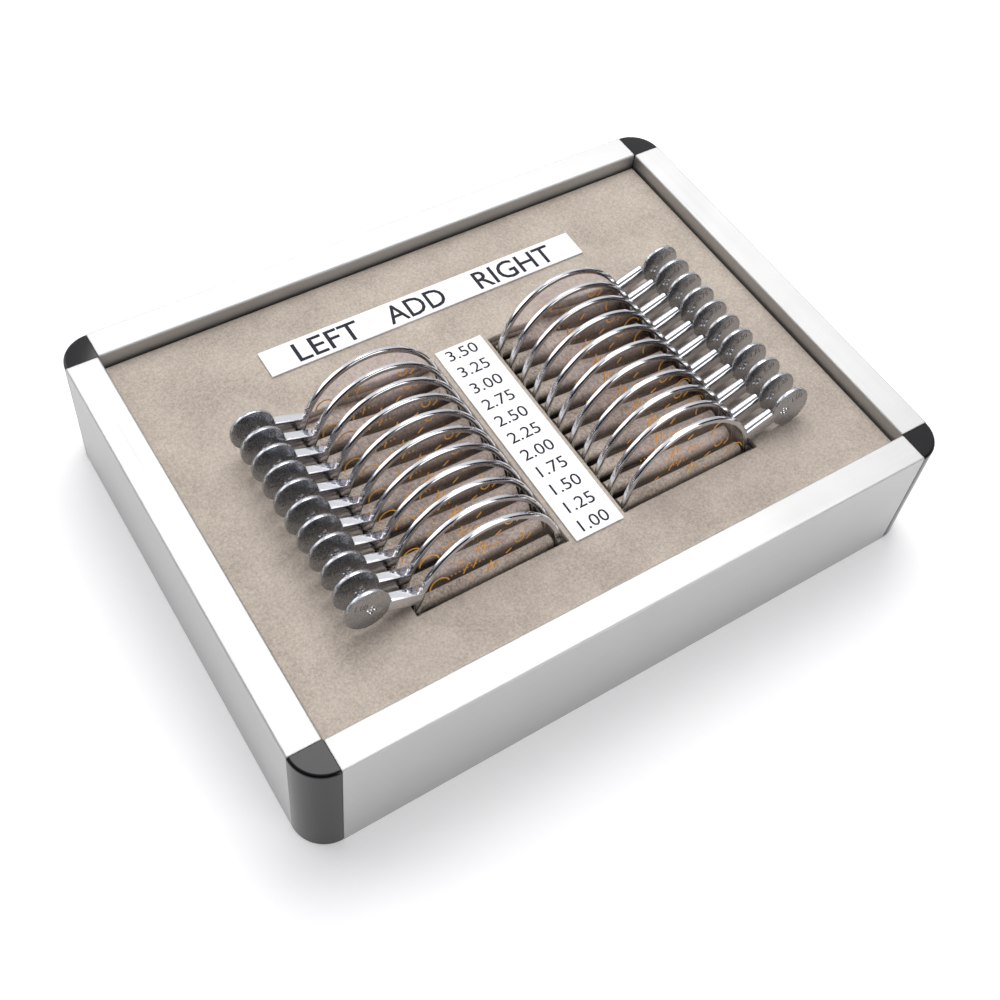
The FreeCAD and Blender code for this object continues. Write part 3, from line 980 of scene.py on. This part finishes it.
bed = add_node(tree, "GeometryNodeCurveToMesh", {
    "Curve": joint.outputs["Geometry"], "Profile Curve": bed_section, "Fill Caps": True})
heap = add_node(tree, "GeometryNodeJoinGeometry", {"Geometry": lumps})
set_inputs(tree, heap, {"Geometry": bed})
real_heap = add_node(tree, "GeometryNodeRealizeInstances", {"Geometry": heap})
melt = add_node(tree, "GeometryNodeMeshToVolume", {
    "Mesh": real_heap, "Voxel Size": given["Voxel"], "Interior Band Width": 0.5},
    resolution_mode="VOXEL_SIZE")
skin = add_node(tree, "GeometryNodeVolumeToMesh", {"Volume": melt, "Threshold": 0.1, "Adaptivity": 0.0})
end_tree(tree, skin, given["Material"])

braze_run = {"left": 4.6, "right": 2.6}
braze_lumps = {"left": 30, "right": 8}
braze_mesh = {}
for side in ("left", "right"):
    joint_places = []
    for step in range(7):
        y = stem_flat_side + 0.2 - (braze_run[side] + stem_flat_side) * step / 6
        joint_places.append((math.sqrt(rim_radius ** 2 - y ** 2) - 0.08, y, 0.1))
    joint_line = poly_curve("joint", [joint_places])
    braze_mesh[side] = run_tree(tree, {
        "Joint": joint_line, "Lumps": braze_lumps[side], "Smallest": 0.12, "Largest": 0.3, "Stray": 0.34,
        "Bed": 0.12, "Voxel": 0.09, "Seed": 4, "Material": chrome}, "braze")
    discard(joint_line)
    print("Braze,", side, "row:", len(braze_mesh[side].polygons), "faces")

# %% [markdown]
# ## The holders in their rows
#
# Rim, braze, stem and plate are one brazed piece, so they are joined into one mesh for each lens. A
# lens leans back by eight degrees, and its handle rises to the outside. In the left row the holder is
# turned about the lens's axis until its handle points the other way.

# %% Holders
def row_matrix(side, power, spin):
    """Where a lens stands, in metres, from its middle in the CAD model, its lean and its spin."""
    low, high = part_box(f"{side}_lens_{power}")
    lean = Matrix.Rotation(math.pi / 2 - lens_lean, 4, "X")
    return Matrix.Translation((low + high) / 2) @ lean @ Matrix.Rotation(spin, 4, "Z")


for side in ("left", "right"):
    for power in powers:
        holder_mesh = joined([rim_mesh, stem_mesh, braze_mesh[side], marked_plate(side, power)], "holder")
        smooth_between_edges(holder_mesh, 32)
        matrix = row_matrix(side, power, handle_turn[side])
        holder = placed_copy(holder_mesh, f"chromed_holder_{side}_{power}", matrix)
        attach(holder, f"{side}_trial_lens_{power}")
        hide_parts(f"{side}_holder_{power}")
print("Holders:", 2 * rows, "of", len(holder_mesh.polygons), "faces each")

# %% [markdown]
# ## The lenses
#
# Both faces of a lens are parts of a ball. The lens maker's rule gives the ball's radius from the power
# in dioptres and the glass's refractive index, so the lenses of 3.50 at the back are visibly rounder
# than those of 1.00 in front. The lenses cast no shadow: real ones are clear, but the renderer would
# darken what lies behind them.

# %% Lenses
glass_index = 1.523
lens_seat = rim_radius - rim_wall - lens_clearance
lens_tip = lens_seat + groove_depth


def ball_radius(power):
    """The radius of both faces in millimetres, for a power in hundredths of a dioptre."""
    return 2 * (glass_index - 1) * 1000 / (power / 100)


def face_height(power, radius):
    """How far a lens's face stands from its middle plane at this radius."""
    ball = ball_radius(power)
    edge_drop = ball - math.sqrt(ball ** 2 - lens_seat ** 2)
    drop = ball - math.sqrt(ball ** 2 - radius ** 2)
    return lens_edge / 2 + edge_drop - drop


def lens_mesh(power):
    """A lens turned from its section, with a bevelled edge for the groove."""
    rings = 12
    radii = [lens_seat * math.sin(math.pi / 2 * ring / rings) for ring in range(rings + 1)]
    section = [(radius, face_height(power, radius)) for radius in radii]
    section.append((lens_tip, 0))
    section += [(radius, -face_height(power, radius)) for radius in reversed(radii)]
    mesh = coat(revolved(section, 96), glass)
    smooth_between_edges(mesh, 25)
    return mesh


for side in ("left", "right"):
    for power in powers:
        matrix = row_matrix(side, power, 0.0)
        lens = placed_copy(lens_mesh(power), f"coated_lens_{side}_{power}", matrix)
        lens.visible_shadow = False
        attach(lens, f"{side}_trial_lens_{power}")
        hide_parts(f"{side}_lens_{power}")
print("Ball radius in mm, front and back:", round(ball_radius(powers[0])), round(ball_radius(powers[-1])))

# %% [markdown]
# ## The layout marks
#
# A lens for reading is stamped with ink marks that show where its zones lie: a cross, arcs, short
# strokes and a row of dots, here in this lesson's own plain layout. They follow the ball-shaped face,
# so a tree lifts flat strokes onto it, gives them the width and thickness of a line of ink, and sets
# the row of dots from one dot.

# %% The tree that stamps marks on a lens
tree, given = new_tree("marks_on_lens", {
    "Nothing": "Geometry", "Strokes": "Object", "Ball Radius": "Float", "Pole Height": "Float",
    "Line Width": "Float", "Ink": "Float", "Dot Radius": "Float", "Dots": "Int",
    "Dot Start": "Vector", "Dot Step": "Vector", "Material": "Material"})
strokes = add_node(tree, "GeometryNodeObjectInfo", {"Object": given["Strokes"]})
fine = add_node(tree, "GeometryNodeResampleCurve", {
    "Curve": strokes.outputs["Geometry"], "Length": 0.35}, mode="LENGTH")
here = add_node(tree, "GeometryNodeInputPosition")
here_squared = add_node(tree, "ShaderNodeVectorMath", {0: here, 1: here}, operation="DOT_PRODUCT")
ball_squared = add_node(tree, "ShaderNodeMath", {0: given["Ball Radius"], 1: 2.0}, operation="POWER")
left_over = add_node(tree, "ShaderNodeMath", {
    0: ball_squared, 1: here_squared.outputs["Value"]}, operation="SUBTRACT")
rise = add_node(tree, "ShaderNodeMath", {0: left_over}, operation="SQRT")
to_pole = add_node(tree, "ShaderNodeMath", {
    0: given["Pole Height"], 1: given["Ball Radius"]}, operation="SUBTRACT")
level = add_node(tree, "ShaderNodeMath", {0: rise, 1: to_pole}, operation="ADD")
lift_up = add_node(tree, "ShaderNodeCombineXYZ", {"Z": level})
lifted = add_node(tree, "GeometryNodeSetPosition", {"Geometry": fine, "Offset": lift_up})
line_section = add_node(tree, "GeometryNodeCurvePrimitiveQuadrilateral", {
    "Width": given["Line Width"], "Height": given["Ink"]})
lines = add_node(tree, "GeometryNodeCurveToMesh", {
    "Curve": lifted, "Profile Curve": line_section, "Fill Caps": True})
dot_line = add_node(tree, "GeometryNodeMeshLine", {
    "Count": given["Dots"], "Start Location": given["Dot Start"], "Offset": given["Dot Step"]})
lifted_dots = add_node(tree, "GeometryNodeSetPosition", {"Geometry": dot_line, "Offset": lift_up})
dot = add_node(tree, "GeometryNodeMeshCylinder", {
    "Vertices": 10, "Radius": given["Dot Radius"], "Depth": given["Ink"]})
dots = add_node(tree, "GeometryNodeInstanceOnPoints", {"Points": lifted_dots, "Instance": dot})
all_marks = add_node(tree, "GeometryNodeJoinGeometry", {"Geometry": lines})
set_inputs(tree, all_marks, {"Geometry": dots})
mark_tree = end_tree(tree, all_marks, given["Material"])


# %% Layout of the marks
def lens_marks(outer):
    """The strokes of one lens, seen from the front; outer is the side of the handle, -1 or 1."""
    turn = math.radians
    return [
        [(-1.6, 4.6), (1.0, 5.4)], [(-0.9, 3.6), (-0.4, 7.0)], [(0.7, 4.2), (1.0, 6.2)],
        arc((0.6, 9.3), 2.6, turn(70), turn(135), 8),
        [(-7.4, 6.4), (-6.4, 9.4), (-5.6, 8.8)], [(-5.0, 7.0), (-4.2, 9.6)], [(-9.0, 9.6), (-7.8, 10.4)],
        [(-3.0, 10.6), (-2.5, 12.4), (-1.6, 12.2)], [(3.4, 7.2), (4.8, 8.2)],
        arc((6.6, 10.4), 1.1, turn(-190), turn(40), 12),
        [(8.6, 9.2), (9.6, 10.2), (9.2, 11.2)],
        arc((outer * 13.2, 5.6), 2.4, turn(20), turn(190), 14),
        [(outer * 4.6, 3.2), (outer * 5.8, 3.4)], [(outer * -11.0, 4.6), (outer * -10.0, 5.4)]]


mark_line_width = 0.32
dot_radius = 0.2
ink_thickness = 0.03
draw = random.Random(7)
for side, outer in (("left", -1), ("right", 1)):
    for power in powers:
        spin = math.radians(draw.uniform(-13, 13))
        strokes = poly_curve("strokes", lens_marks(outer))
        marks_mesh = run_tree(mark_tree, {
            "Strokes": strokes, "Ball Radius": ball_radius(power),
            "Pole Height": face_height(power, 0) + ink_thickness, "Line Width": mark_line_width,
            "Ink": ink_thickness, "Dot Radius": dot_radius, "Dots": 9, "Dot Start": (-10.4, 7.4, 0.0),
            "Dot Step": (1.0, 0.12, 0.0), "Material": marking_ink}, "marks")
        discard(strokes)
        marks = placed_copy(marks_mesh, f"layout_marks_{side}_{power}", row_matrix(side, power, spin))
        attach(marks, f"{side}_trial_lens_{power}")
print("Marks on", 2 * rows, "lenses,", len(marks_mesh.polygons), "faces each")

# %% [markdown]
# ## The labels
#
# The label plates come from the CAD model. Their lettering says which row is for which eye and what
# each lens adds. It is toner a few hundredths of a millimetre thick on the card.

# %% Lettering
label_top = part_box("heading_label")[1].z / MM
toner = 0.02
capital_share = 0.729


def printed(words, height, squeeze, bolder, x, y):
    """Words printed on a label: their capitals' height, their middle's X and their baseline's Y."""
    mesh = figures(words, height / capital_share, toner / 2, squeeze, bolder, print_ink)
    mesh.transform(Matrix.Translation((x, y, label_top + toner / 2)))
    return mesh


heading_height = 6.2
heading_line = 34.9
heading = [printed(word, heading_height, squeeze, bolder, x, heading_line)
           for word, squeeze, bolder, x in (
               ("LEFT", 1.04, 0.06, -27.7), ("ADD", 0.9, 0.07, -2.5), ("RIGHT", 0.96, 0.07, 26.4))]
heading_piece = placed_copy(joined(heading, "heading_lettering"), "heading_lettering")
number_height = 3.4
first_line = 17.7
line_step = 5.69
numbers = [printed(f"{power / 100:.2f}", number_height, 1.1, 0.01, -0.35, first_line - line_step * index)
           for index, power in enumerate(reversed(powers))]
scale_piece = placed_copy(joined(numbers, "scale_lettering"), "scale_lettering")
for lettering in (heading_piece, scale_piece):
    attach(lettering, "root")
    print(lettering.name, [round(size / MM, 1) for size in lettering.dimensions], "mm")

# %% [markdown]
# ## Size
#
# The CAD model's box, taken before the pieces were dressed, is printed in millimetres.

# %% Sizes
print("CAD box", [[round(value / MM, 2) for value in corner] for corner in cad_box])
